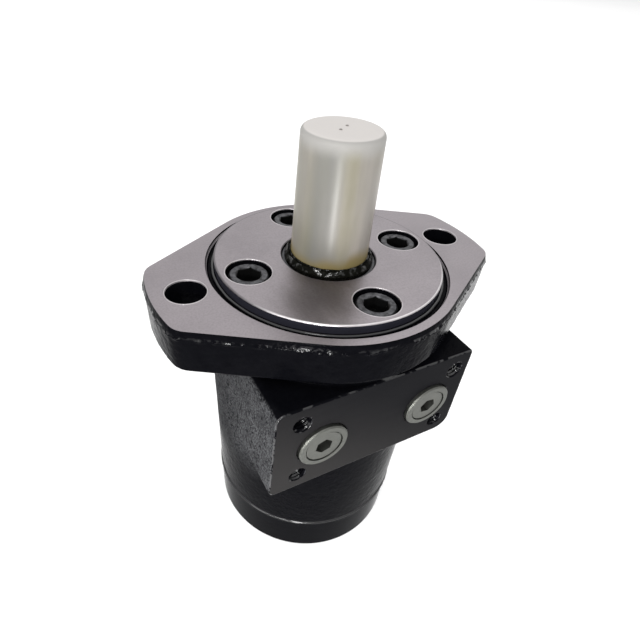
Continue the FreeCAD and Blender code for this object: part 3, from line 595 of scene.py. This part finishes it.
def make_casting():
    """Housing with a sand-cast skin: the machined port face, ends and bores stay true."""
    mesh = remeshed("housing", 0.45 * MM)
    count = len(mesh.vertices)
    places, normals = np.empty(count * 3), np.empty(count * 3)
    mesh.vertices.foreach_get("co", places)
    mesh.vertices.foreach_get("normal", normals)
    places, normals = places.reshape(-1, 3), normals.reshape(-1, 3)
    share = cast_share(places, normals)
    relief = np.zeros(count)
    for i in np.nonzero(share > 0)[0]:
        place = Vector(places[i])
        relief[i] = (0.06 * noise.noise(place * 150) + 0.05 * noise.noise(place * 420)
                     + 0.04 * noise.noise(place * 1000))
    places += normals * (relief * share * MM)[:, None]
    mesh.vertices.foreach_set("co", places.ravel())
    mesh.update()
    smooth_by_angle(mesh, 50)
    new_piece("housing_casting", mesh, NODE_LOOKS["housing"], "motor_body", "housing")


def make_bolt_threads():
    """Painted-over thread ridges in the port block's four bolt holes."""
    pitch, root_r, backing, count, first = 1.25 * MM, 3.35 * MM, 0.5 * MM, 9, 0.5 * MM
    crest_r = root_r - 0.45 * MM
    ridges = []
    for n in range(count):
        start = first + n * pitch
        ridges += [(root_r, start), (crest_r, start + 0.45 * pitch), (crest_r, start + 0.6 * pitch)]
    depth = first + count * pitch
    profile = ridges + [(root_r, depth), (root_r + backing, depth), (root_r + backing, first)]
    spots = [(x, BOLT_MID_Z + dz) for x in (-BOLT_X, BOLT_X) for dz in (BOLT_DZ, -BOLT_DZ)]
    for k, (x, z) in enumerate(spots):
        sleeve = turned(profile, 48, lambda r, z, a: (r + 0.06 * MM * math.sin(5 * a + 2000 * z), z))
        bmesh.ops.rotate(sleeve, verts=sleeve.verts, cent=(0, 0, 0),
                         matrix=Matrix.Rotation(-math.pi / 2, 3, "X"))
        bmesh.ops.translate(sleeve, verts=sleeve.verts, vec=(x, PORT_FACE_Y, z))
        new_piece("bolt_thread_%d" % (k + 1), finish_bmesh(sleeve, "bolt_thread"), THREAD_PAINT,
                  "motor_body")


def make_joint_bead():
    """Paint bridged over the joint between the housing and the rear section."""
    def uneven(r, z, a):
        way = round_about(a)
        ripple = 0.05 * MM * noise.noise(way * 30) + 0.03 * MM * noise.noise(way * 90)
        return (r + ripple, z + 0.15 * MM * noise.noise(way * 12))

    inside_barrel, below_joint, thick = 0.7 * MM, 0.9 * MM, 1.2 * MM
    bead = turned(round_section(BARREL_R - inside_barrel, JOINT_Z - below_joint, thick, 48), 720, uneven)
    new_piece("joint_bead", finish_bmesh(bead, "joint_bead"), JOINT_PAINT, "motor_body")


# ---- front cover --------------------------------------------------------------------------------------
def paint_lift(way, spot, share, levels):
    """Thickness of the flange's paint at a spot: grain, a broken parting ridge, and thin borders."""
    grain = (0.10 * noise.noise(spot * 160) + 0.07 * noise.noise(spot * 430)
             + 0.05 * noise.noise(spot * 1000))
    ridge_z, ridge_width = -2.9 * MM, 0.42 * MM
    from_ridge = (spot.z - ridge_z) / ridge_width + 0.8 * noise.noise(way * 7)
    broken = min(1.0, max(0.0, 0.42 + 1.2 * noise.noise(way * 26) + 0.9 * noise.noise(way * 75)))
    lift = 0.09 + grain + 0.40 * broken * math.exp(-from_ridge * from_ridge)
    return lift * MM * min(1.0, share * levels / 2 + 0.15) * min(1.0, (1 - share) * levels / 2 + 0.15)


def room_outside(way, spot):
    """Distance along way from a spot to the sides of the CAD model's box."""
    _, (high_x, high_y, _) = cad_bounds
    smallest = 1e-6
    return min((high_x - abs(spot.x)) / max(abs(way.x), smallest),
               (high_y - abs(spot.y)) / max(abs(way.y), smallest))


def make_flange_skin():
    """Thick paint over the flange's cast edge, with a parting ridge and a ragged upper limit."""
    cover = NODES["front_cover"]
    steps, levels = 1100, 62
    top, bottom = -0.45 * MM, -15.6 * MM
    inside_depth, least_room, sunk = 0.7 * MM, 0.03 * MM, -0.25 * MM
    outer, inner = [], []
    for j in range(levels + 1):
        share = j / levels
        row, back_row = [], []
        for k in range(steps):
            way = round_about(FULL_TURN * k / steps)
            ragged = 0.30 * MM * noise.noise(way * 9) + 0.22 * MM * noise.noise(way * 40 + Vector((3, 0, 0)))
            start = top + ragged
            z = start + (bottom - start) * share
            _, spot, _, _ = cover.ray_cast(way * 0.09 + Vector((0, 0, z)), -way)
            room = room_outside(way, spot)
            lift = min(paint_lift(way, spot, share, levels), room) if room > least_room else sunk
            row.append(spot + way * lift)
            back_row.append(spot - way * inside_depth)
        outer.append(row)
        inner.append(back_row)
    mesh = grid_mesh("flange_paint", outer + [inner[-1], inner[levels // 2], inner[0]])
    new_piece("flange_paint", mesh, FLANGE_PAINT, "motor_body")


def make_bore_edges():
    """Bright broken edges round the counterbores and the mounting holes."""
    edge_r, outside, sunk = 0.26 * MM, 0.22 * MM, 0.20 * MM
    spots = [(round_about(a) * SCREW_CIRCLE_R + Vector((0, 0, PILOT_TOP)), COUNTERBORE_R)
             for a in (0, math.pi / 2, math.pi, -math.pi / 2)]
    spots += [(Vector((side * MOUNTING_HOLE_X, 0, 0)), MOUNTING_HOLE_R) for side in (1, -1)]
    for k, (place, hole_r) in enumerate(spots):
        ring = turned(round_section(hole_r + outside, -sunk, edge_r), 96)
        bmesh.ops.translate(ring, verts=ring.verts, vec=place)
        new_piece("bore_edge_%d" % (k + 1), finish_bmesh(ring, "bore_edge"), BORE_EDGE,
                  "motor_body")


def make_pilot_rings():
    """Paint pooled in the pilot's groove, and the pilot's broken edge with a painted highlight at its front.
    """
    def uneven(r, z, a):
        return (r + 0.10 * MM * noise.noise(Vector((9 * math.cos(a), 9 * math.sin(a), 4))), z)

    pool_r, pool_z, pool_thick = 41.75 * MM, -1.35 * MM, 0.80 * MM
    pool = turned(round_section(pool_r, pool_z, pool_thick), 360, uneven)
    new_piece("groove_paint", finish_bmesh(pool, "groove_paint"), POOLED_PAINT, "motor_body")
    edge_r, below_top, edge_thick = 40.82 * MM, 0.42 * MM, 0.45 * MM
    edge = turned(round_section(edge_r, PILOT_TOP - below_top, edge_thick), 360)
    new_piece("pilot_edge", finish_bmesh(edge, "pilot_edge"), PILOT_EDGE, "motor_body")


def make_grease():
    """Black grease pushed up round the foot of the protector."""
    steps, around = 14, 240
    middle_r, half_width, foot_z = 15.30 * MM, 0.68 * MM, 2.35 * MM
    rows = []
    for j in range(steps):
        t = FULL_TURN * j / steps
        row = []
        for k in range(around):
            way = round_about(FULL_TURN * k / around)
            swell = 1.0 + 0.9 * noise.noise(way * 4.5) + 0.5 * noise.noise(way * 17)
            lump = (0.14 * MM * noise.noise(way * 24 + Vector((0, 0, t)))
                    + 0.08 * MM * noise.noise(way * 60 + Vector((0, 0, 2 * t))))
            r = middle_r + (half_width + lump) * math.cos(t)
            height = (0.9 + 1.15 * max(0.2, swell)) * MM
            z = foot_z + height * (0.35 + 0.65 * math.sin(t)) * (0.9 - 0.45 * math.cos(t))
            row.append(way * r + Vector((0, 0, z)))
        rows.append(row)
    new_piece("shaft_grease", grid_mesh("shaft_grease", rows), GREASE, "motor_body")


def make_journal_smear():
    """Smear of grease on the shaft's shoulder."""
    smear_r, smear_thick, tall, shoulder_z = 14.24 * MM, 0.28 * MM, 1.7, 4.38 * MM

    def uneven(r, z, a):
        ripple = 0.16 * MM * noise.noise(Vector((6 * math.cos(a), 6 * math.sin(a), 1)))
        return (r, shoulder_z + tall * z + ripple)

    smear = turned(round_section(smear_r, 0, smear_thick), 240, uneven)
    new_piece("journal_grease", finish_bmesh(smear, "journal_grease"), GREASE, "shaft")


make_protector()
make_casting()
make_flange_skin()
make_bore_edges()
make_pilot_rings()
make_bolt_threads()
make_joint_bead()
make_grease()
make_journal_smear()


# ---- stage, lights and camera -------------------------------------------------------------------------
def make_floor():
    """Plain, large, flat floor level with the motor's lowest point."""
    low = cad_bounds[0][2]
    half = 6.0
    mesh = bpy.data.meshes.new("floor")
    corners = [(-half, -half, low), (half, -half, low), (half, half, low), (-half, half, low)]
    mesh.from_pydata(corners, [], [(0, 1, 2, 3)])
    floor = bpy.data.objects.new("floor", mesh)
    bpy.context.collection.objects.link(floor)
    g = Graph("floor_finish")
    tone = g.noise(3, 2)
    floor.data.materials.append(g.set(color=g.mix(tone, (0.93, 0.93, 0.93), (0.96, 0.96, 0.96)), rough=0.9))


def soft_light(name, position, size, power, target=(0, 0, -0.03)):
    """Rectangular light at a point, turned towards a target."""
    data = bpy.data.lights.new(name, "AREA")
    data.shape = "RECTANGLE"
    data.size, data.size_y = size
    data.energy = power
    light = bpy.data.objects.new(name, data)
    bpy.context.collection.objects.link(light)
    look = Vector(target) - Vector(position)
    light.matrix_world = Matrix.Translation(position) @ look.to_track_quat("-Z", "Y").to_matrix().to_4x4()


def make_world(strength):
    """Even white surroundings."""
    world = bpy.data.worlds.new("studio")
    bpy.context.scene.world = world
    world.use_nodes = True
    background = world.node_tree.nodes["Background"]
    background.inputs[0].default_value = (1.0, 1.0, 1.0, 1.0)
    background.inputs[1].default_value = strength


def make_camera():
    """Camera to the left of the ports and well above them, slightly rolled."""
    azimuth, elevation, roll = math.radians(-30.75), math.radians(43.79), math.radians(5.08)
    distance, target = 0.12337, Vector((-0.03557, -0.04628, -0.00002))
    back = Vector((math.sin(azimuth) * math.cos(elevation), -math.cos(azimuth) * math.cos(elevation),
                   math.sin(elevation)))
    right = (-back).cross(Vector((0, 0, 1))).normalized()
    up = right.cross(-back)
    right_rolled = right * math.cos(roll) + up * math.sin(roll)
    up_rolled = up * math.cos(roll) - right * math.sin(roll)
    data = bpy.data.cameras.new("camera")
    data.sensor_width, data.lens = 36.0, 25.3125
    data.shift_x, data.shift_y = 0.032109375, 0.07459375
    data.clip_start = 0.005
    camera = bpy.data.objects.new("camera", data)
    bpy.context.collection.objects.link(camera)
    axes = Matrix((right_rolled, up_rolled, back)).transposed().to_4x4()
    camera.matrix_world = Matrix.Translation(target + back * distance) @ axes
    bpy.context.scene.camera = camera


bpy.context.scene.view_settings.view_transform = "Standard"
make_floor()
make_world(0.85)
soft_light("sky_panel", (0.0, 0.5, 2.2), (7.0, 7.0), 85.0, (0.0, 0.5, -0.14))
soft_light("back_softbox", (0.51, 0.50, 0.66), (0.30, 0.22), 0.12, (-0.01, -0.05, 0))
soft_light("left_strip", (-0.75, -0.25, 0.12), (0.25, 0.5), 1.2)
soft_light("front_key", (-0.28, -0.38, 0.55), (0.14, 0.08), 0.75, (0, -0.03, 0))
soft_light("front_spark", (-0.45, -0.50, 0.26), (0.45, 0.018), 1.9, (-0.03, -0.03, -0.02))
soft_light("low_strip", (-0.115, -0.195, -0.055), (0.020, 0.06), 0.26, (0, 0, 0.03))
make_camera()
